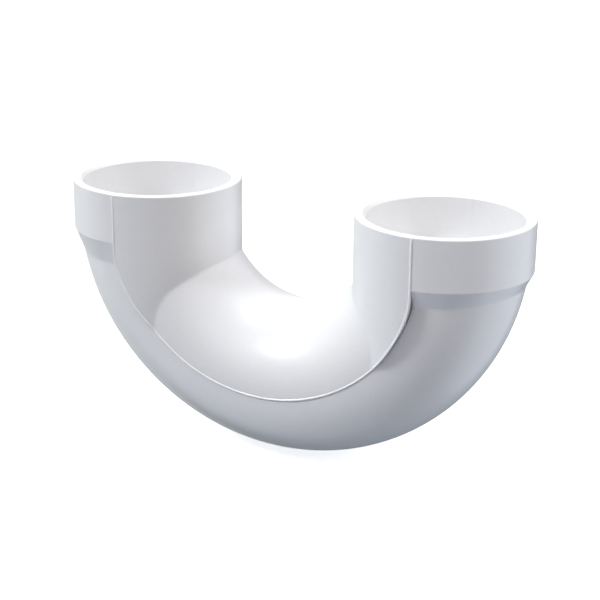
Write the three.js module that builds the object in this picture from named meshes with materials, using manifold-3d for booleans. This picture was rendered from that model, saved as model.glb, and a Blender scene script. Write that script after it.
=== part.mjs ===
// Return bend of a P-trap for 2 inch drain pipe: two moulded PVC half shells, an inner one round
// the throat and an outer one round the heel, cemented together along a seam on each side.
// Millimetres, +Z up. The two sockets face up, the legs stand along X, and the seams face -Y and +Y.

import * as THREE from 'three';
import { mergeVertices } from 'three/addons/utils/BufferGeometryUtils.js';
import Module from 'manifold-3d';

const wasm = await Module();
wasm.setup();

// Bend: a tube swept along a circle about the Y axis
const BEND_RADIUS = 65.5;            // centreline
const TUBE_RADIUS = 30.95;           // outside
const BORE_RADIUS = 26.2;
const LEG_ANGLE = Math.PI / 12;      // below the circle's centre, where the centreline meets a leg axis

// Hubs: one upright socket on each leg
const LEG_X = BEND_RADIUS * Math.cos(LEG_ANGLE);
const HUB_RADIUS = 34.65;
const HUB_FOOT_Z = -10.37;           // heights are from the circle's centre
const HUB_EDGE_ROUND = 0.3;
const RIM_Z = 10.26;
const RIM_ROUND = 0.5;

// Collars: each narrows from the foot of a hub to the bend, and the inlet's is the longer
const INLET_COLLAR_FOOT_Z = -19.65;
const OUTLET_COLLAR_FOOT_Z = -17.2;

// Sockets: tapered, with a lead-in at the mouth and a stop ledge at the bottom
const SOCKET_DEPTH = 19.05;
const SOCKET_MOUTH_RADIUS = 30.32;
const SOCKET_STOP_RADIUS = 30.09;
const LEAD_IN_RADIUS = 31.6;
const LEAD_IN_DEPTH = 1.4;

// Seam between the half shells
const SEAM_GAP = 0.3;
const SEAM_EASE_RADIUS = 32.75;      // joins the straight seam of a leg to the seam of the bend
const THROAT_PROUD = 0.2;            // the throat shell stands this much proud of the heel shell
const BEAD_RADIUS = 0.45;
const BEAD_SINK = 0.1;               // bead axis below the throat shell's surface
const BEAD_CLEARANCE = 0.3;
const SEAM_TOP_Z = RIM_Z + 2;        // the seam's surfaces run on past the rims, to cut them through

// Tongue on the throat shell and groove in the heel shell, inside the wall along the bend
const TONGUE_WIDTH = 1.5;
const TONGUE_HEIGHT = 1.6;
const TONGUE_Y = 28.4;
const TONGUE_START = THREE.MathUtils.degToRad(26);
const TONGUE_CLEARANCE = 0.3;

// Fineness of the round shapes
const ARC_STEPS = 40;
const TUBE_SIDES = 40;
const HUB_SIDES = 56;
const SEAM_STEPS = 60;
const BEAD_SIDES = 6;

const SPAN = 220;                    // longer than the part

// ---------------------------------------------------------------- solids

function solidFrom(geometry) {
  geometry.deleteAttribute('normal');
  geometry.deleteAttribute('uv');
  const merged = mergeVertices(geometry, 1e-4);
  const triangles = [];
  for (let i = 0; i < merged.index.count; i += 3) {
    const [a, b, c] = [0, 1, 2].map((corner) => merged.index.getX(i + corner));
    if (a !== b && b !== c && c !== a) triangles.push(a, b, c);
  }
  return new wasm.Manifold(new wasm.Mesh({
    numProp: 3,
    vertProperties: new Float32Array(merged.attributes.position.array),
    triVerts: new Uint32Array(triangles),
  }));
}

function meshFrom(name, solid, material) {
  const { vertProperties, triVerts } = solid.getMesh();
  const geometry = new THREE.BufferGeometry();
  geometry.setAttribute('position', new THREE.BufferAttribute(vertProperties, 3));
  geometry.setIndex(new THREE.BufferAttribute(triVerts, 1));
  geometry.computeVertexNormals();
  const mesh = new THREE.Mesh(geometry, material);
  mesh.name = name;
  return mesh;
}

function disc(radius) {
  return new THREE.Shape().absarc(0, 0, radius, 0, 2 * Math.PI);
}

// A tube round the lower half of the bend's circle, its ends at the height of the circle's centre
function bendTube(radius) {
  class HalfCircle extends THREE.Curve {
    getPoint(t) {
      const angle = Math.PI * t;
      return new THREE.Vector3(BEND_RADIUS * Math.cos(angle), 0, -BEND_RADIUS * Math.sin(angle));
    }
  }
  return solidFrom(new THREE.ExtrudeGeometry(disc(radius), {
    extrudePath: new HalfCircle(),
    steps: ARC_STEPS,
    curveSegments: TUBE_SIDES / 2,
  }));
}

// A round solid on each leg, from profiles of [radius, z] points that end on the axis
function onBothLegs(inletProfile, outletProfile = inletProfile) {
  const legs = [[-LEG_X, inletProfile], [LEG_X, outletProfile]];
  const solids = legs.map(([x, profile]) => {
    const points = profile.map(([radius, z]) => new THREE.Vector2(radius, z));
    const geometry = new THREE.LatheGeometry(points, HUB_SIDES);
    geometry.rotateX(Math.PI / 2);
    return solidFrom(geometry.translate(x, 0, 0));
  });
  return solids[0].add(solids[1]);
}

// A slab of the given outline in the XZ plane, from y = start to y = end
function slab(outline, start, end) {
  const geometry = new THREE.ExtrudeGeometry(outline, { depth: end - start, bevelEnabled: false });
  geometry.rotateX(Math.PI / 2);
  return solidFrom(geometry.translate(0, end, 0));
}

// ---------------------------------------------------------------- outlines

// Points of a rounded convex corner of a lathe profile, from one direction to another
function roundedCorner([radius, z], round, startAngle, endAngle, steps) {
  const points = [];
  for (let i = 0; i <= steps; i += 1) {
    const angle = startAngle + (endAngle - startAngle) * i / steps;
    points.push([radius + round * Math.cos(angle), z + round * Math.sin(angle)]);
  }
  return points;
}

function rimCorner(hubRadius) {
  return roundedCorner([hubRadius - RIM_ROUND, RIM_Z - RIM_ROUND], RIM_ROUND, 0, Math.PI / 2, 2);
}

// The throat side of a leg runs straight down until it sinks into the bend
function throatHubProfile() {
  const radius = HUB_RADIUS + THROAT_PROUD;
  const bottomZ = -0.75 * BEND_RADIUS;
  return [[0, bottomZ], [radius, bottomZ], ...rimCorner(radius), [0, RIM_Z]];
}

// The heel side of a leg narrows to the bend over its collar
function heelHubProfile(collarFootZ) {
  const corner = [HUB_RADIUS - HUB_EDGE_ROUND, HUB_FOOT_Z + HUB_EDGE_ROUND];
  return [
    [0, collarFootZ],
    [TUBE_RADIUS, collarFootZ],
    ...roundedCorner(corner, HUB_EDGE_ROUND, -Math.PI / 2, 0, 2),
    ...rimCorner(HUB_RADIUS),
    [0, RIM_Z],
  ];
}

function socketProfile() {
  const stopZ = RIM_Z - SOCKET_DEPTH;
  return [
    [0, stopZ],
    [SOCKET_STOP_RADIUS, stopZ],
    [SOCKET_MOUTH_RADIUS, RIM_Z - LEAD_IN_DEPTH],
    [LEAD_IN_RADIUS, RIM_Z],
    [LEAD_IN_RADIUS, RIM_Z + 1],
    [0, RIM_Z + 1],
  ];
}

// The seam in the XZ plane: down one leg, along the bend's centreline and up the other leg
function seamLine(offset = 0) {
  const legX = LEG_X + offset;
  const easeX = LEG_X - SEAM_EASE_RADIUS;
  const easeZ = -Math.sqrt((BEND_RADIUS - SEAM_EASE_RADIUS) ** 2 - easeX ** 2);
  const easeRadius = SEAM_EASE_RADIUS + offset;
  const easeAngle = Math.atan2(-easeZ, easeX);
  const line = new THREE.Path();
  line.moveTo(legX, SEAM_TOP_Z);
  line.lineTo(legX, easeZ);
  line.absarc(easeX, easeZ, easeRadius, 0, -easeAngle, true);
  line.absarc(0, 0, BEND_RADIUS + offset, -easeAngle, easeAngle - Math.PI, true);
  line.absarc(-easeX, easeZ, easeRadius, easeAngle - Math.PI, -Math.PI, true);
  line.lineTo(-legX, SEAM_TOP_Z);
  return line;
}

// The seam on the outside of the throat shell, on the side where y has the given sign
class SeamCurve extends THREE.Curve {
  constructor(sign) {
    super();
    this.sign = sign;
    this.line = seamLine();
  }

  getPoint(t) {
    const { x, y: z } = this.line.getPointAt(t);
    const inward = Math.min(LEG_X - Math.abs(x), HUB_RADIUS);
    const hubReach = Math.sqrt(HUB_RADIUS ** 2 - inward ** 2);
    const reach = Math.max(hubReach, TUBE_RADIUS) + THROAT_PROUD - BEAD_SINK;
    return new THREE.Vector3(x, this.sign * reach, z);
  }
}

function seamRod(sign, radius) {
  return solidFrom(new THREE.ExtrudeGeometry(disc(radius), {
    extrudePath: new SeamCurve(sign),
    steps: SEAM_STEPS,
    curveSegments: BEAD_SIDES / 2,
  }));
}

// A curved key along the bend's seam, used for the tongue and, with clearance, for its groove
function seamKey(sign, clearance) {
  const startAngle = TONGUE_START - clearance / BEND_RADIUS;
  const endAngle = Math.PI - startAngle;
  const outline = new THREE.Shape();
  outline.absarc(0, 0, BEND_RADIUS + TONGUE_HEIGHT + clearance, -startAngle, -endAngle, true);
  outline.absarc(0, 0, BEND_RADIUS - 1, -endAngle, -startAngle, false);
  const middle = sign * TONGUE_Y;
  const half = TONGUE_WIDTH / 2 + clearance;
  return slab(outline, middle - half, middle + half);
}

// ---------------------------------------------------------------- the four pieces

function sideOfSeam(offset) {
  return slab(new THREE.Shape(seamLine(offset).getSpacedPoints(SEAM_STEPS)), -SPAN / 2, SPAN / 2);
}

function waterway() {
  return bendTube(BORE_RADIUS).add(onBothLegs(socketProfile()));
}

function beadGrooves() {
  const radius = BEAD_RADIUS + BEAD_CLEARANCE;
  return seamRod(-1, radius).add(seamRod(1, radius));
}

function throatShell() {
  return bendTube(TUBE_RADIUS + THROAT_PROUD)
    .add(onBothLegs(throatHubProfile()))
    .intersect(sideOfSeam(-SEAM_GAP / 2))
    .add(seamKey(-1, 0))
    .add(seamKey(1, 0))
    .subtract(waterway())
    .subtract(beadGrooves());
}

function heelShell() {
  return bendTube(TUBE_RADIUS)
    .add(onBothLegs(heelHubProfile(INLET_COLLAR_FOOT_Z), heelHubProfile(OUTLET_COLLAR_FOOT_Z)))
    .subtract(sideOfSeam(SEAM_GAP / 2))
    .subtract(seamKey(-1, TONGUE_CLEARANCE))
    .subtract(seamKey(1, TONGUE_CLEARANCE))
    .subtract(waterway())
    .subtract(beadGrooves());
}

function weldBead(sign) {
  const belowRims = new THREE.Shape();
  belowRims.moveTo(-SPAN / 2, -SPAN / 2);
  belowRims.lineTo(SPAN / 2, -SPAN / 2);
  belowRims.lineTo(SPAN / 2, RIM_Z - BEAD_CLEARANCE);
  belowRims.lineTo(-SPAN / 2, RIM_Z - BEAD_CLEARANCE);
  return seamRod(sign, BEAD_RADIUS).intersect(slab(belowRims, -SPAN / 2, SPAN / 2));
}

const plastic = new THREE.MeshStandardMaterial({ color: 0xf1f1ef, roughness: 0.28, metalness: 0 });
const cement = new THREE.MeshStandardMaterial({ color: 0xf6f6f4, roughness: 0.2, metalness: 0 });

const returnBend = new THREE.Group();
returnBend.add(meshFrom('throat_shell', throatShell(), plastic));
returnBend.add(meshFrom('heel_shell', heelShell(), plastic.clone()));
returnBend.add(meshFrom('front_weld_bead', weldBead(-1), cement));
returnBend.add(meshFrom('rear_weld_bead', weldBead(1), cement.clone()));
returnBend.position.z = BEND_RADIUS + TUBE_RADIUS;

export default returnBend;
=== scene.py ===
"""Looks of a P-trap's return bend: two glossy white PVC half shells, cemented along a seam on each side.

Metres, +Z up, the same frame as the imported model. The shells and the weld beads are finely sampled
surfaces built here from the same dimensions as the CAD solids, and stand for them. One leg is built at
+X, where the outlet is, and mirrored for the inlet.
"""
import math

import bmesh
import bpy
import numpy as np
from mathutils import Matrix, Vector


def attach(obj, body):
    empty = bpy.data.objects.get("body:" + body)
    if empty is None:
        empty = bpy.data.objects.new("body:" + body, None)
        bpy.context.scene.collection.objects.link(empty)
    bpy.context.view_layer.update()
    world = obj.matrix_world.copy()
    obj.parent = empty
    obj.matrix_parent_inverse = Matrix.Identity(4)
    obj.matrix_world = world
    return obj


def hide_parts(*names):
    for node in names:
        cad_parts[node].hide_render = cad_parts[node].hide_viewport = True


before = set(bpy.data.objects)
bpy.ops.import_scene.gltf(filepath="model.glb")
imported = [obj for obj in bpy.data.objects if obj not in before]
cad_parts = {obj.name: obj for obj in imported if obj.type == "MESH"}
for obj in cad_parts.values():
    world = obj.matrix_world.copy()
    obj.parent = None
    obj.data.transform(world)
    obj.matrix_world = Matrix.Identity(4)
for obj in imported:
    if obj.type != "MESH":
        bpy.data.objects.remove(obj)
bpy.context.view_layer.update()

MM = 0.001

# Bend: a tube round a circle about the Y axis
BEND_RADIUS = 65.5 * MM
TUBE_RADIUS = 30.95 * MM
BORE_RADIUS = 26.2 * MM
LEG_ANGLE = math.radians(15)
CENTRE_Z = BEND_RADIUS + TUBE_RADIUS          # height of the circle's centre above the lowest point

# Legs: heights are from the circle's centre
LEG_X = BEND_RADIUS * math.cos(LEG_ANGLE)
HUB_RADIUS = 34.65 * MM
HUB_FOOT_Z = -10.37 * MM
HUB_EDGE_ROUND = 0.3 * MM
RIM_Z = 10.26 * MM
RIM_ROUND = 0.5 * MM
CREASE_ROUND = 0.35 * MM                      # fillet where a hub sinks into the bend

# Collars: each narrows from the foot of a hub to the bend
INLET_COLLAR_FOOT_Z = -19.65 * MM
OUTLET_COLLAR_FOOT_Z = -17.2 * MM
COLLAR_INSET = 0.2 * MM                       # the collar starts this much inside the hub
COLLAR_ROUND = 0.2 * MM

# Sockets
STOP_Z = RIM_Z - 19.05 * MM
SOCKET_MOUTH_RADIUS = 30.32 * MM
SOCKET_STOP_RADIUS = 30.09 * MM
LEAD_IN_RADIUS = 31.6 * MM
LEAD_IN_DEPTH = 1.4 * MM
LEAD_IN_EASE = 0.2 * MM
LEDGE_ROUND = 0.3 * MM

# Seam
SEAM_EASE_RADIUS = 32.75 * MM                 # joins the straight seam of a leg to the seam of the bend
THROAT_PROUD = 0.2 * MM                       # the throat shell stands this much proud of the heel shell
JOINT_GAP = 0.03 * MM
THROAT_EDGE_ROUND = 0.15 * MM
HEEL_EDGE_ROUND = 0.4 * MM
INNER_EDGE_ROUND = 0.04 * MM

# Cement ridge along the throat shell's edge. Where two values stand, the first is for the inlet leg,
# and the second for the middle of the bend and the outlet leg
RIDGE_RADIUS = 0.4 * MM
RIDGE_SINK = 0.08 * MM
RIDGE_LEAN = -0.08 * MM, 0.02 * MM            # towards the throat shell
RIDGE_FULLNESS = 0.86, 0.92                   # height, in radii
RIDGE_THROAT_REACH = 1.35                     # gentle where it runs out on the throat shell, in radii
RIDGE_HEEL_REACH = 0.75                       # and steep towards the heel shell
RIDGE_TOP_GAP = 0.35 * MM                     # from its ends to the rims
RIDGE_TAPER = 0.8 * MM
RIDGE_TIP = 0.02                              # share of the taper's length where it stops thinning
WIDTH_WOBBLE = 0.2
HEIGHT_WOBBLE = 0.14
DRIFT_WOBBLE = 0.05 * MM
WOBBLE_WAVES = (13 * MM, 0.5), (5 * MM, 0.3), (2.2 * MM, 0.2)     # spacing and share of each
WOBBLE_SEED = 11

# Fineness
ROW_STEP = 1.65 * MM
TURN_STEP = 0.65 * MM
FINE_STEP = 0.33 * MM
COLLAR_ROW_STEP = 0.6 * FINE_STEP
EDGE_ROW_STEP = 0.2 * FINE_STEP
COLUMNS = 150
EDGE_SUPPORT = 2.2                            # the column beside a seam's edge, in roundings from it
RIM_STEPS = 6
LEDGE_STEPS = 5
CORNER_STEPS = 4
RIDGE_SIDES = 12
HALVINGS = 40

QUARTER_TURN = math.pi / 2
OTHER_LEG = np.array([-1, 1, 1])              # mirrors a point to the inlet leg


# ---------------------------------------------------------------- the solids as distance functions

def soft_min(a, b, width):
    """The smaller of two distances, with a fillet where they meet."""
    h = np.clip(0.5 + 0.5 * (b - a) / width, 0, 1)
    return b + (a - b) * h - width * h * (1 - h)


def soft_max(a, b, width):
    """The larger of two distances, with a rounded edge where they meet."""
    return -soft_min(-a, -b, width)


def tube_distance(point, radius):
    x, y, z = point
    return np.hypot(np.hypot(x, z) - BEND_RADIUS, y) - radius


def throat_distance(point):
    x, y, _ = point
    hub = np.hypot(x - LEG_X, y) - HUB_RADIUS - THROAT_PROUD
    return soft_min(hub, tube_distance(point, TUBE_RADIUS + THROAT_PROUD), CREASE_ROUND)


def heel_distance(collar_foot_z):
    """The outside of the heel shell on a leg whose collar ends at the given height."""
    slope = (HUB_RADIUS - COLLAR_INSET - TUBE_RADIUS) / (HUB_FOOT_Z - collar_foot_z)

    def distance(point):
        x, y, z = point
        across = np.hypot(x - LEG_X, y)
        hub = soft_max(across - HUB_RADIUS, HUB_FOOT_Z - z, 2 * HUB_EDGE_ROUND)
        taper = (across - TUBE_RADIUS - (z - collar_foot_z) * slope) / math.hypot(1, slope)
        collar = np.maximum(taper, np.maximum(z - HUB_FOOT_Z - HUB_EDGE_ROUND, collar_foot_z - z - MM))
        return np.minimum(hub, soft_min(collar, tube_distance(point, TUBE_RADIUS), COLLAR_ROUND))

    return distance


def bore_distance(point):
    return tube_distance(point, BORE_RADIUS)


def surface_points(distance, rows, angles):
    """Where rays from each row's centre meet a surface. Angle 0 points to the heel, 90 degrees to +Y."""
    cx, cz, tilt = (np.array(column)[:, None] for column in zip(*rows))
    u = np.asarray(angles)[None, :]
    centre = cx, 0 * cx, cz
    direction = np.cos(tilt) * np.cos(u), np.sin(u) + 0 * tilt, -np.sin(tilt) * np.cos(u)
    low = np.full((len(rows), u.size), 0.6 * BORE_RADIUS)       # inside every surface
    high = np.full_like(low, 1.45 * TUBE_RADIUS)                # outside every surface
    for _ in range(HALVINGS):
        middle = (low + high) / 2
        inside = distance([c + d * middle for c, d in zip(centre, direction)]) < 0
        low = np.where(inside, middle, low)
        high = np.where(inside, high, middle)
    return np.stack([c + d * low for c, d in zip(centre, direction)], axis=-1)


# ---------------------------------------------------------------- rows down one leg and round the bend

EASE_X = LEG_X - SEAM_EASE_RADIUS
EASE_Z = -math.sqrt((BEND_RADIUS - SEAM_EASE_RADIUS) ** 2 - EASE_X ** 2)
EASE_ANGLE = math.atan2(-EASE_Z, EASE_X)


def seam_x(z):
    """Where the seam stands at a height: on the leg, then eased, then on the bend's circle."""
    if z >= EASE_Z:
        return LEG_X
    if z >= -BEND_RADIUS * math.sin(EASE_ANGLE):
        return EASE_X + math.sqrt(SEAM_EASE_RADIUS ** 2 - (z - EASE_Z) ** 2)
    return math.sqrt(max(0.0, BEND_RADIUS ** 2 - z ** 2))


def spaced(start, end, step):
    count = max(1, math.ceil(abs(end - start) / step - 1e-9))
    return list(np.linspace(start, end, count + 1))


def level_rows(start_z, end_z, step):
    return [(seam_x(z), z, 0.0) for z in spaced(start_z, end_z, step)]


def turning_rows(start_z, end_angle, reach, side, step):
    """Rows that turn from level at start_z to square with the bend at end_angle, and never cross.

    Reach is how far the surface stands from the centreline; side is 1 on the throat and -1 on the heel.
    """
    end_z = -BEND_RADIUS * math.sin(end_angle)
    far_end = end_z + side * reach * math.sin(end_angle)
    rows = []
    for z in spaced(start_z, end_z, step)[1:]:
        part = (z - start_z) / (end_z - start_z)
        far = start_z + (far_end - start_z) * part
        rows.append((seam_x(z), z, math.asin(side * (far - z) / reach)))
    return rows


def bend_rows(start_angle, end_angle, step):
    angles = spaced(start_angle, end_angle, step / BEND_RADIUS)[1:]
    return [(BEND_RADIUS * math.cos(a), -BEND_RADIUS * math.sin(a), a) for a in angles]


def throat_rows():
    """Rows of the throat shell, fine where the hub's side sinks into the bend."""
    turned = math.radians(33)
    sunk = math.radians(47)
    return [
        *level_rows(RIM_Z - RIM_ROUND, RIM_Z - RIM_ROUND - FINE_STEP, FINE_STEP),
        *level_rows(RIM_Z - RIM_ROUND - FINE_STEP, HUB_FOOT_Z, ROW_STEP)[1:],
        *turning_rows(HUB_FOOT_Z, turned, TUBE_RADIUS, 1, TURN_STEP),
        *bend_rows(turned, sunk, FINE_STEP),
        *bend_rows(sunk, QUARTER_TURN, ROW_STEP),
    ]


def heel_rows():
    """Rows of the heel shell, fine over the hub's foot and the collar."""
    edge_top = HUB_FOOT_Z + 0.8 * MM
    edge_foot = HUB_FOOT_Z - 0.35 * MM
    collar_end = INLET_COLLAR_FOOT_Z - MM
    turned = math.radians(34)
    return [
        *level_rows(RIM_Z - RIM_ROUND, RIM_Z - RIM_ROUND - FINE_STEP, FINE_STEP),
        *level_rows(RIM_Z - RIM_ROUND - FINE_STEP, edge_top, ROW_STEP)[1:],
        *level_rows(edge_top, edge_foot, EDGE_ROW_STEP)[1:],
        *level_rows(edge_foot, collar_end, COLLAR_ROW_STEP)[1:],
        *turning_rows(collar_end, turned, TUBE_RADIUS, -1, TURN_STEP),
        *bend_rows(turned, QUARTER_TURN, ROW_STEP),
    ]


# ---------------------------------------------------------------- shells

def eased_corner(before, corner, after, size):
    """Points of a small curve in place of a profile's corner, between the points before and after it."""
    before, corner, after = (np.array(point) for point in (before, corner, after))
    start = corner + (before - corner) * size / np.linalg.norm(before - corner)
    end = corner + (after - corner) * size / np.linalg.norm(after - corner)
    return [tuple((1 - t) ** 2 * start + 2 * t * (1 - t) * corner + t ** 2 * end)
            for t in np.linspace(0, 1, CORNER_STEPS + 1)]


def rim_profile(hub_radius):
    """Radius and height from the top of a hub's side, over the rim and down the socket to its foot."""
    edge = [(hub_radius - RIM_ROUND * (1 - math.cos(a)), RIM_Z - RIM_ROUND * (1 - math.sin(a)))
            for a in np.linspace(0, QUARTER_TURN, RIM_STEPS + 1)[1:]]
    lead_in_top = LEAD_IN_RADIUS, RIM_Z
    mouth = SOCKET_MOUTH_RADIUS, RIM_Z - LEAD_IN_DEPTH
    stop = SOCKET_STOP_RADIUS, STOP_Z
    wall = [(np.interp(z, [STOP_Z, mouth[1]], [SOCKET_STOP_RADIUS, SOCKET_MOUTH_RADIUS]), z)
            for z in spaced(mouth[1] - 2 * LEAD_IN_EASE, STOP_Z + LEDGE_ROUND, ROW_STEP)]
    return [
        *edge,
        (edge[-1][0] - FINE_STEP, RIM_Z),
        (LEAD_IN_RADIUS + FINE_STEP, RIM_Z),
        *eased_corner(edge[-1], lead_in_top, mouth, LEAD_IN_EASE),
        *eased_corner(lead_in_top, mouth, stop, LEAD_IN_EASE),
        *wall,
    ]


def ledge_profile(bore):
    """From the foot of the socket wall over the stop ledge, to the top of the bore."""
    turn = np.linspace(0, QUARTER_TURN, LEDGE_STEPS + 1)
    foot = [(SOCKET_STOP_RADIUS - LEDGE_ROUND * (1 - math.cos(a)), STOP_Z + LEDGE_ROUND * (1 - math.sin(a)))
            for a in turn[1:]]
    lip = [(bore + LEDGE_ROUND * (1 - math.sin(a)), STOP_Z - LEDGE_ROUND * (1 - math.cos(a)))
           for a in turn]
    return [*foot, *lip]


def ring_rows(profile, angles):
    """Rows round the leg's axis from (radius, height) pairs; a radius may be one value per angle."""
    u = np.asarray(angles)
    return np.array([
        np.stack([LEG_X + radius * np.cos(u), radius * np.sin(u), np.full_like(u, z)], axis=-1)
        for radius, z in profile
    ])


def seam_softened(grid, sizes):
    """Replaces the first and last columns by rounded edges that turn into the joint."""
    along = np.gradient(grid, axis=0)
    along /= np.linalg.norm(along, axis=-1, keepdims=True)
    size = sizes[:, None]
    t = np.linspace(0, 1, CORNER_STEPS + 1)[:, None, None]
    sides = []
    for edge, beside, turn in ((0, 1, 1), (-1, -2, -1)):
        corner = grid[:, edge]
        down = along[:, edge]
        across = grid[:, beside] - corner
        across -= down * np.sum(across * down, axis=-1, keepdims=True)
        across /= np.linalg.norm(across, axis=-1, keepdims=True)
        inward = np.cross(down, across)
        start, end = corner + turn * inward * size, corner + across * size
        curve = (1 - t) ** 2 * start + 2 * t * (1 - t) * corner + t ** 2 * end
        sides.append(curve.transpose(1, 0, 2))
    return np.concatenate([sides[0], grid[:, 1:-1], sides[1][:, ::-1]], axis=1)


def zipped(outer, inner, angle_of):
    """Triangles between two chains of vertices that start at one vertex and run round the bend."""
    faces = []
    i = j = 0
    while i < len(outer) - 1 or j < len(inner) - 1:
        ahead_outer = angle_of[outer[i + 1]] if i < len(outer) - 1 else math.inf
        ahead_inner = angle_of[inner[j + 1]] if j < len(inner) - 1 else math.inf
        if ahead_outer <= ahead_inner and i < len(outer) - 1:
            face = outer[i], outer[i + 1], inner[j]
            i += 1
        else:
            face = outer[i], inner[j + 1], inner[j]
            j += 1
        if len(set(face)) == 3:
            faces.append(face)
    return faces


def half_shell(distance, hub_radius, rows, angles, side, edge_round):
    """One leg's grid of points: up its outside, over the rim, down the socket and along the bore."""
    outside = surface_points(distance, rows, angles)
    over_rim = ring_rows(rim_profile(hub_radius), angles)
    mouth = surface_points(bore_distance, level_rows(STOP_Z, STOP_Z - MM, MM)[:1], angles)[0]
    ledge = ring_rows(ledge_profile(np.hypot(mouth[:, 0] - LEG_X, mouth[:, 1])), angles)
    bore_turned = math.radians(30)
    bore_rows = [
        *turning_rows(STOP_Z - LEDGE_ROUND, bore_turned, BORE_RADIUS, side, ROW_STEP),
        *bend_rows(bore_turned, QUARTER_TURN, ROW_STEP),
    ]
    bore = surface_points(bore_distance, bore_rows, angles)
    half = np.concatenate([outside[::-1], over_rim, ledge, bore])
    lead_in_start = len(outside) + RIM_STEPS + 3
    rounds = np.full(len(half), edge_round)
    rounds[lead_in_start:] = INNER_EDGE_ROUND
    return seam_softened(half, rounds)


def shell_mesh(name, inlet_distance, outlet_distance, hub_radius, rows, middle_angle, side, edge_round):
    """A closed half shell. Its joint faces under the hubs, bare beside a seam, take the second material:
    painted shade.
    """
    edge = QUARTER_TURN - JOINT_GAP / 2 / TUBE_RADIUS
    support = EDGE_SUPPORT * edge_round / TUBE_RADIUS
    spread = [-edge, *np.linspace(support - edge, edge - support, COLUMNS - 1), edge]
    angles = middle_angle + np.array(spread)
    outlet = half_shell(outlet_distance, hub_radius, rows, angles, side, edge_round)
    inlet = half_shell(inlet_distance, hub_radius, rows, angles, side, edge_round) * OTHER_LEG
    loop = np.concatenate([outlet, inlet[-2:0:-1]])
    row_count, column_count = loop.shape[:2]
    rim_middle = len(rows) + RIM_STEPS

    def vertex(row, column):
        return row % row_count * column_count + column

    faces = [
        (vertex(i, j), vertex(i + 1, j), vertex(i + 1, j + 1), vertex(i, j + 1))
        for i in range(row_count) for j in range(column_count - 1)
    ]
    skin_faces = len(faces)
    flat = loop.reshape(-1, 3)
    flat[:, 2] = np.minimum(flat[:, 2], RIM_Z)
    angle_of = np.arctan2(-flat[:, 2], np.abs(flat[:, 0]))
    for column in (0, column_count - 1):
        for leg in (1, -1):
            outer = [vertex(leg * i, column) for i in range(rim_middle, -1, -1)]
            inner = [vertex(leg * i, column) for i in range(rim_middle, len(outlet))]
            faces += zipped(outer, inner, angle_of)
    piece = closed_mesh(name, flat + np.array([0, 0, CENTRE_Z]), faces)
    # Joint faces below the hub's foot take the grey painted shade
    for polygon in piece.data.polygons[skin_faces:]:
        if polygon.center.z < CENTRE_Z + HUB_FOOT_Z:
            polygon.material_index = 1
    return piece


def closed_mesh(name, vertices, faces):
    """A smooth object from vertices and faces, with the faces turned outwards."""
    mesh = bpy.data.meshes.new(name)
    mesh.from_pydata(np.asarray(vertices).tolist(), [], faces)
    builder = bmesh.new()
    builder.from_mesh(mesh)
    bmesh.ops.recalc_face_normals(builder, faces=builder.faces)
    builder.to_mesh(mesh)
    builder.free()
    mesh.shade_smooth()
    piece = bpy.data.objects.new(name, mesh)
    bpy.context.collection.objects.link(piece)
    return piece


# ---------------------------------------------------------------- cement ridges

def unevenness(length, seed):
    """Three random profiles along a length, each between -1 and 1."""
    rng = np.random.default_rng(seed)
    profiles = []
    for _ in range(3):
        total = np.zeros_like(length)
        for wave, size in WOBBLE_WAVES:
            knots = rng.uniform(-1, 1, int(length[-1] / wave) + 3)
            total += size * np.interp(length / wave, np.arange(len(knots)), knots)
        profiles.append(total)
    return profiles


def ridge_path(sign):
    """The ridge's centre line from the outlet's rim to the inlet's, on the side of Y with the given sign."""
    leg = level_rows(RIM_Z - RIDGE_TOP_GAP, -BEND_RADIUS * math.sin(EASE_ANGLE), TURN_STEP)
    rows = [*leg, *bend_rows(EASE_ANGLE, QUARTER_TURN, TURN_STEP)]
    crest = surface_points(throat_distance, rows, [sign * QUARTER_TURN])[:, 0]
    crest[:, 1] -= sign * RIDGE_SINK
    return np.concatenate([crest, (crest * OTHER_LEG)[-2::-1]])


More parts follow.
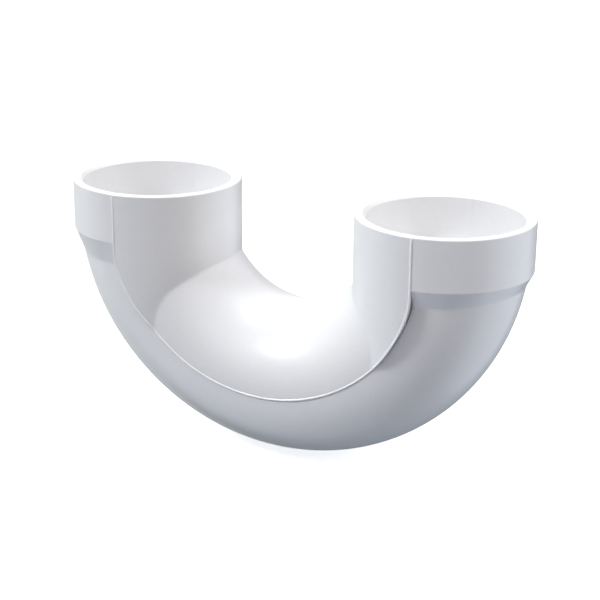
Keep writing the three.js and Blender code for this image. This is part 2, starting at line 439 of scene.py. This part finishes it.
def ridge_mesh(name, sign):
    """A thin uneven ridge of cured cement along the throat shell's edge, from rim to rim."""
    path = ridge_path(sign)
    along = np.gradient(path, axis=0)
    along /= np.linalg.norm(along, axis=-1, keepdims=True)
    outward = np.tile([0.0, sign, 0.0], (len(path), 1))
    outward -= along * np.sum(outward * along, axis=-1, keepdims=True)
    outward /= np.linalg.norm(outward, axis=-1, keepdims=True)
    across = np.cross(along, outward)             # to the heel at the rear, and to the throat at the front

    length = np.concatenate([[0], np.cumsum(np.linalg.norm(np.diff(path, axis=0), axis=-1))])
    wobble = unevenness(length, WOBBLE_SEED + sign)
    inlet_to_bend = path[:, 0], [-LEG_X, 0]
    width = RIDGE_RADIUS * (1 + WIDTH_WOBBLE * wobble[0])
    height = RIDGE_RADIUS * (np.interp(*inlet_to_bend, RIDGE_FULLNESS) - HEIGHT_WOBBLE * np.abs(wobble[1]))
    drift = DRIFT_WOBBLE * wobble[2] - sign * np.interp(*inlet_to_bend, RIDGE_LEAN)
    from_end = np.minimum(length, length[-1] - length)
    taper = np.sqrt(np.clip(from_end / RIDGE_TAPER, RIDGE_TIP, 1))

    lines = []
    for k in range(RIDGE_SIDES):
        a = 2 * math.pi * k / RIDGE_SIDES
        reach = width * (RIDGE_THROAT_REACH if sign * math.cos(a) < 0 else RIDGE_HEEL_REACH)
        lines.append(path + across * (drift + reach * taper * math.cos(a))[:, None]
                     + outward * (height * taper * math.sin(a))[:, None])
    rings = np.stack(lines, axis=1)
    last_ring = len(rings) - 1

    def vertex(ring, k):
        return ring * RIDGE_SIDES + k % RIDGE_SIDES

    faces = [
        (vertex(i, k), vertex(i + 1, k), vertex(i + 1, k + 1), vertex(i, k + 1))
        for i in range(last_ring) for k in range(RIDGE_SIDES)
    ]
    first_tip = len(rings) * RIDGE_SIDES
    for k in range(RIDGE_SIDES):
        faces.append((vertex(0, k), vertex(0, k + 1), first_tip))
        faces.append((vertex(last_ring, k + 1), vertex(last_ring, k), first_tip + 1))
    vertices = np.concatenate([rings.reshape(-1, 3), path[:1], path[-1:]])
    return closed_mesh(name, vertices + np.array([0, 0, CENTRE_Z]), faces)


# ---------------------------------------------------------------- materials

class Nodes:
    """A short way to write a material's node tree."""

    def __init__(self, name):
        self.material = bpy.data.materials.new(name)
        self.material.use_nodes = True
        self.tree = self.material.node_tree
        self.shader = self.tree.nodes["Principled BSDF"]
        self.place = self.tree.nodes.new("ShaderNodeTexCoord").outputs["Object"]

    def link(self, source, target):
        self.tree.links.new(source, target)

    def mapped(self, scale, location=(0, 0, 0)):
        node = self.tree.nodes.new("ShaderNodeMapping")
        node.inputs["Scale"].default_value = scale
        node.inputs["Location"].default_value = location
        self.link(self.place, node.inputs["Vector"])
        return node.outputs["Vector"]

    def noise(self, scale, detail=2.0, roughness=0.5, place=None):
        node = self.tree.nodes.new("ShaderNodeTexNoise")
        node.inputs["Scale"].default_value = scale
        node.inputs["Detail"].default_value = detail
        node.inputs["Roughness"].default_value = roughness
        self.link(place or self.place, node.inputs["Vector"])
        return node.outputs["Fac"]

    def cells(self, scale, place=None):
        node = self.tree.nodes.new("ShaderNodeTexVoronoi")
        node.inputs["Scale"].default_value = scale
        self.link(place or self.place, node.inputs["Vector"])
        return node.outputs["Distance"], node.outputs["Color"]

    def ranged(self, value, low, high, to_low, to_high, smooth=False):
        node = self.tree.nodes.new("ShaderNodeMapRange")
        node.interpolation_type = "SMOOTHSTEP" if smooth else "LINEAR"
        node.inputs["From Min"].default_value = low
        node.inputs["From Max"].default_value = high
        node.inputs["To Min"].default_value = to_low
        node.inputs["To Max"].default_value = to_high
        self.link(value, node.inputs["Value"])
        return node.outputs["Result"]

    def maths(self, operation, a, b):
        node = self.tree.nodes.new("ShaderNodeMath")
        node.operation = operation
        for socket, value in zip(node.inputs, (a, b)):
            if isinstance(value, (int, float)):
                socket.default_value = value
            else:
                self.link(value, socket)
        return node.outputs["Value"]

    def mixed(self, fac, a, b):
        node = self.tree.nodes.new("ShaderNodeMix")
        node.data_type = "RGBA"
        self.link(fac, node.inputs["Factor"])
        for socket, value in ((node.inputs[6], a), (node.inputs[7], b)):
            if isinstance(value, tuple):
                socket.default_value = (*value, 1)
            else:
                self.link(value, socket)
        return node.outputs[2]

    def bump(self, height, distance, strength, after=None):
        node = self.tree.nodes.new("ShaderNodeBump")
        node.inputs["Distance"].default_value = distance
        node.inputs["Strength"].default_value = strength
        self.link(height, node.inputs["Height"])
        if after is not None:
            self.link(after, node.inputs["Normal"])
        return node.outputs["Normal"]


def moulded_pvc(name, bright, shade, shift):
    """Glossy moulded PVC: a fine grain, faint clouds and flow lines, a few specks, gentle waves.

    The shift moves its pattern, so that two pieces differ.
    """
    n = Nodes(name)
    drift = n.mapped((1, 1, 1), location=shift)
    clouds = n.noise(24, 2, 0.5, drift)
    flow = n.noise(1, 2, 0.5, n.mapped((50, 50, 240), location=shift))
    grain = n.noise(1500, 2, 0.6, drift)
    tone = n.maths("ADD", n.maths("MULTIPLY", clouds, 0.6), n.maths("MULTIPLY", flow, 0.4))
    even = n.mixed(n.ranged(tone, 0.3, 0.7, 0, 1), shade, bright)
    plastic = n.mixed(n.ranged(grain, 0.35, 0.65, 0, 0.07), even, (0.5, 0.5, 0.51))
    spot, pick = n.cells(77, drift)
    chosen = n.maths("GREATER_THAN", pick, 0.9)
    speck = n.maths("MULTIPLY", n.ranged(spot, 0.02, 0.034, 1, 0, True), chosen)
    dusty = n.mixed(n.maths("MULTIPLY", speck, 0.5), plastic, (0.24, 0.22, 0.19))
    n.link(dusty, n.shader.inputs["Base Color"])
    scuffs = n.noise(1, 3, 0.6, n.mapped((420, 420, 900), location=shift))
    rough = n.maths("ADD", n.ranged(clouds, 0.3, 0.7, 0.29, 0.33), n.ranged(scuffs, 0.5, 0.8, 0, 0.06))
    n.link(rough, n.shader.inputs["Roughness"])
    waves = n.bump(n.noise(24, 2, 0.4, drift), 0.0006, 0.25)
    peel = n.bump(n.noise(900, 2, 0.5, drift), 0.00003, 0.5, waves)
    n.link(peel, n.shader.inputs["Normal"])
    n.shader.inputs["IOR"].default_value = 1.53
    n.shader.inputs["Subsurface Weight"].default_value = 0.12
    n.shader.inputs["Subsurface Radius"].default_value = (1.0, 0.95, 0.9)
    n.shader.inputs["Subsurface Scale"].default_value = 0.0008
    return n.material


def painted_shade_joint_face(name):
    """The bare edge of a half shell: matt, and grey with painted shade that is darkest in the corner at its
    foot, where it meets the other shell.
    """
    n = Nodes(name)
    blotches = n.noise(1, 3, 0.6, n.mapped((300, 300, 140)))
    # Painted shade: grey in blotches, darkest in the corner at the face's foot and fading out towards the
    # hub's outside
    painted_shade = n.mixed(n.ranged(blotches, 0.35, 0.65, 0, 1, True), (0.26, 0.26, 0.265), (0.40, 0.40, 0.405))
    split = n.tree.nodes.new("ShaderNodeSeparateXYZ")
    n.link(n.place, split.inputs["Vector"])
    reach = n.maths("ABSOLUTE", split.outputs["Y"], 0.0)
    uneven = n.maths("ADD", reach, n.ranged(blotches, 0.3, 0.7, -0.5 * MM, 0.5 * MM))
    out_of_shade = n.ranged(uneven, TUBE_RADIUS + 0.6 * MM, HUB_RADIUS - 0.6 * MM, 0, 1, True)
    n.link(n.mixed(out_of_shade, painted_shade, (0.82, 0.82, 0.82)), n.shader.inputs["Base Color"])
    n.link(n.ranged(blotches, 0.3, 0.7, 0.5, 0.65), n.shader.inputs["Roughness"])
    n.link(n.bump(n.noise(1600, 3, 0.6), 0.00005, 0.6), n.shader.inputs["Normal"])
    return n.material


def cured_cement(name):
    """Solvent cement squeezed out along the joint: clear white, glossy and slightly lumpy."""
    n = Nodes(name)
    lumps = n.noise(480, 3, 0.55)
    cloudy = n.ranged(n.noise(130, 2), 0.35, 0.65, 0, 1, True)
    n.link(n.mixed(cloudy, (0.93, 0.93, 0.925), (0.96, 0.96, 0.955)), n.shader.inputs["Base Color"])
    n.link(n.ranged(lumps, 0.3, 0.7, 0.14, 0.26), n.shader.inputs["Roughness"])
    n.link(n.bump(lumps, 0.00014, 0.5), n.shader.inputs["Normal"])
    n.shader.inputs["IOR"].default_value = 1.5
    return n.material


def table_top():
    """A pale, faintly grained top with a glow of its own."""
    n = Nodes("table_top")
    grain = n.noise(30, 4, 0.6)
    n.link(n.mixed(n.ranged(grain, 0.3, 0.7, 0, 1), (0.80, 0.80, 0.805), (0.82, 0.82, 0.825)),
           n.shader.inputs["Base Color"])
    n.shader.inputs["Roughness"].default_value = 0.75
    n.shader.inputs["Specular IOR Level"].default_value = 0.2
    n.shader.inputs["Emission Color"].default_value = (1, 1, 1, 1)
    n.shader.inputs["Emission Strength"].default_value = 0.6
    return n.material


# ---------------------------------------------------------------- pieces

throat = shell_mesh(
    "throat_moulding", throat_distance, throat_distance, HUB_RADIUS + THROAT_PROUD,
    throat_rows(), middle_angle=math.pi, side=1, edge_round=THROAT_EDGE_ROUND,
)
heel = shell_mesh(
    "heel_moulding", heel_distance(INLET_COLLAR_FOOT_Z), heel_distance(OUTLET_COLLAR_FOOT_Z), HUB_RADIUS,
    heel_rows(), middle_angle=0, side=-1, edge_round=HEEL_EDGE_ROUND,
)
front_ridge = ridge_mesh("front_cement_ridge", -1)
rear_ridge = ridge_mesh("rear_cement_ridge", 1)

for piece, node, slot in (
    (throat, "throat_shell", "throat_pvc"),
    (heel, "heel_shell", "heel_pvc"),
    (front_ridge, "front_weld_bead", "weld_cement"),
    (rear_ridge, "rear_weld_bead", "weld_cement"),
):
    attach(piece, "root")
    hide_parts(node)

throat.data.materials.append(moulded_pvc(
    "throat_pvc_look", bright=(0.87, 0.87, 0.865), shade=(0.85, 0.85, 0.85), shift=(0.3, 0.1, 0)))
heel.data.materials.append(moulded_pvc(
    "heel_pvc_look", bright=(0.865, 0.865, 0.865), shade=(0.845, 0.845, 0.85), shift=(0, 0.7, 0.4)))
# The joint faces take grey painted shade, darkest in the corner at their foot
joint = painted_shade_joint_face("joint_face_look")
throat.data.materials.append(joint)
heel.data.materials.append(joint)
cement = cured_cement("cured_cement_look")
front_ridge.data.materials.append(cement)
rear_ridge.data.materials.append(cement)


# ---------------------------------------------------------------- camera axes

AZIMUTH, ELEVATION, ROLL = 0.4467, 0.3324, 0.0105     # radians, the azimuth from -Y towards +X
TARGET = Vector((0.002433, 0, 0.062657))
DISTANCE = 0.60895
LENS, SENSOR_WIDTH = 90.34, 36
toward = Vector((math.sin(AZIMUTH), -math.cos(AZIMUTH), 0))
right = Vector((math.cos(AZIMUTH), math.sin(AZIMUTH), 0))
back = toward * math.cos(ELEVATION) + Vector((0, 0, math.sin(ELEVATION)))


# ---------------------------------------------------------------- floor

def bowl(flat_radius, curve_radius, wall_height, sides=96):
    """A round floor that curves up into a wall, so that every view ends on it."""
    profile = [(flat_radius * (i / 10) ** 1.5, 0.0) for i in range(1, 11)]
    profile += [(flat_radius + curve_radius * math.sin(a), curve_radius * (1 - math.cos(a)))
                for a in np.linspace(0, QUARTER_TURN, 13)[1:]]
    profile.append((flat_radius + curve_radius, wall_height))
    around = np.linspace(0, 2 * math.pi, sides, endpoint=False)
    vertices = [(0, 0, 0)]
    for radius, z in profile:
        vertices += [(radius * math.cos(a), radius * math.sin(a), z) for a in around]
    faces = [(0, 1 + k, 1 + (k + 1) % sides) for k in range(sides)]
    for i in range(len(profile) - 1):
        a, b = 1 + i * sides, 1 + (i + 1) * sides
        faces += [(a + k, b + k, b + (k + 1) % sides, a + (k + 1) % sides) for k in range(sides)]
    mesh = bpy.data.meshes.new("floor")
    mesh.from_pydata(vertices, [], faces)
    mesh.shade_smooth()
    piece = bpy.data.objects.new("floor", mesh)
    bpy.context.collection.objects.link(piece)
    return piece


floor = bowl(flat_radius=6, curve_radius=3, wall_height=9)
floor.location.z = -0.1 * MM
floor.data.materials.append(table_top())
# The floor neither lights nor shades the object, which stands as if cut out on white
floor.visible_diffuse = False
floor.visible_glossy = False
floor.visible_transmission = False
floor.visible_shadow = False


# ---------------------------------------------------------------- lights

LIGHT_DISTANCE = 4.0


def from_camera_side(azimuth, elevation):
    """A direction, its azimuth in degrees from the camera's side of the object towards the view's right."""
    a, e = math.radians(azimuth), math.radians(elevation)
    level = toward * math.cos(a) + right * math.sin(a)
    return level * math.cos(e) + Vector((0, 0, math.sin(e)))


def round_light(name, azimuth, elevation, half_angle, radiance):
    """A far round soft light that fills half_angle degrees about its direction, seen from the object."""
    radius = LIGHT_DISTANCE * math.tan(math.radians(half_angle))
    strength = max(radiance)
    light = bpy.data.lights.new(name, "AREA")
    light.shape = "DISK"
    light.size = 2 * radius
    light.energy = strength * math.pi * math.pi * radius ** 2
    light.color = [value / strength for value in radiance]
    lamp = bpy.data.objects.new(name, light)
    direction = from_camera_side(azimuth, elevation)
    lamp.location = TARGET + direction * LIGHT_DISTANCE
    lamp.rotation_euler = (-direction).to_track_quat("-Z", "Y").to_euler()
    lamp.visible_camera = False
    bpy.context.collection.objects.link(lamp)


round_light("key", 286, 42, 7, (30.5, 32.5, 33.4))
round_light("right_fill", 70, 26, 12, (6.0, 5.9, 5.65))
round_light("back_fill", 212, 0, 46, (0.62, 0.67, 0.61))
round_light("low_left_fill", 300, -58, 30, (1.0, 1.08, 1.22))
round_light("left_fill", 268, -24, 20, (0.42, 0.42, 0.42))
round_light("low_right_fill", 92, -27, 36, (0.88, 1.01, 1.18))


def surroundings(levels):
    """A world whose light depends on height only, from (elevation in degrees, radiance) pairs."""
    world = bpy.data.worlds.new("studio")
    world.use_nodes = True
    tree = world.node_tree
    place = tree.nodes.new("ShaderNodeTexCoord")
    split = tree.nodes.new("ShaderNodeSeparateXYZ")
    angle = tree.nodes.new("ShaderNodeMath")
    angle.operation = "ARCSINE"
    share = tree.nodes.new("ShaderNodeMapRange")
    share.inputs["From Min"].default_value = -QUARTER_TURN
    share.inputs["From Max"].default_value = QUARTER_TURN
    ramp = tree.nodes.new("ShaderNodeValToRGB")
    background = tree.nodes["Background"]
    tree.links.new(place.outputs["Generated"], split.inputs["Vector"])
    tree.links.new(split.outputs["Z"], angle.inputs[0])
    tree.links.new(angle.outputs["Value"], share.inputs["Value"])
    tree.links.new(share.outputs["Result"], ramp.inputs["Fac"])
    tree.links.new(ramp.outputs["Color"], background.inputs["Color"])
    strongest = max(max(radiance) for _, radiance in levels)
    background.inputs["Strength"].default_value = strongest
    stops = ramp.color_ramp.elements
    while len(stops) < len(levels):
        stops.new(0.5)
    for stop, (elevation, radiance) in zip(stops, levels):
        stop.position = (elevation + 90) / 180
        stop.color = [value / strongest for value in radiance] + [1]
    return world


bpy.context.scene.world = surroundings([
    (-90, (0.0, 0.0, 0.0)),
    (12, (0.0, 0.0, 0.0)),
    (35, (1.46, 1.39, 1.53)),
    (65, (0.28, 0.32, 0.2)),
    (90, (5.2, 5.2, 5.5)),
])
bpy.context.scene.view_settings.view_transform = "Standard"


# ---------------------------------------------------------------- camera

camera_data = bpy.data.cameras.new("camera")
camera_data.lens = LENS
camera_data.sensor_width = SENSOR_WIDTH
camera_data.clip_start, camera_data.clip_end = 0.02, 60
camera = bpy.data.objects.new("camera", camera_data)
up = back.cross(right)
rolled_right = right * math.cos(ROLL) + up * math.sin(ROLL)
rolled_up = up * math.cos(ROLL) - right * math.sin(ROLL)
turned = Matrix((rolled_right, rolled_up, back)).transposed().to_4x4()
camera.matrix_world = Matrix.Translation(TARGET + back * DISTANCE) @ turned
bpy.context.collection.objects.link(camera)
bpy.context.scene.camera = camera

bpy.context.view_layer.update()
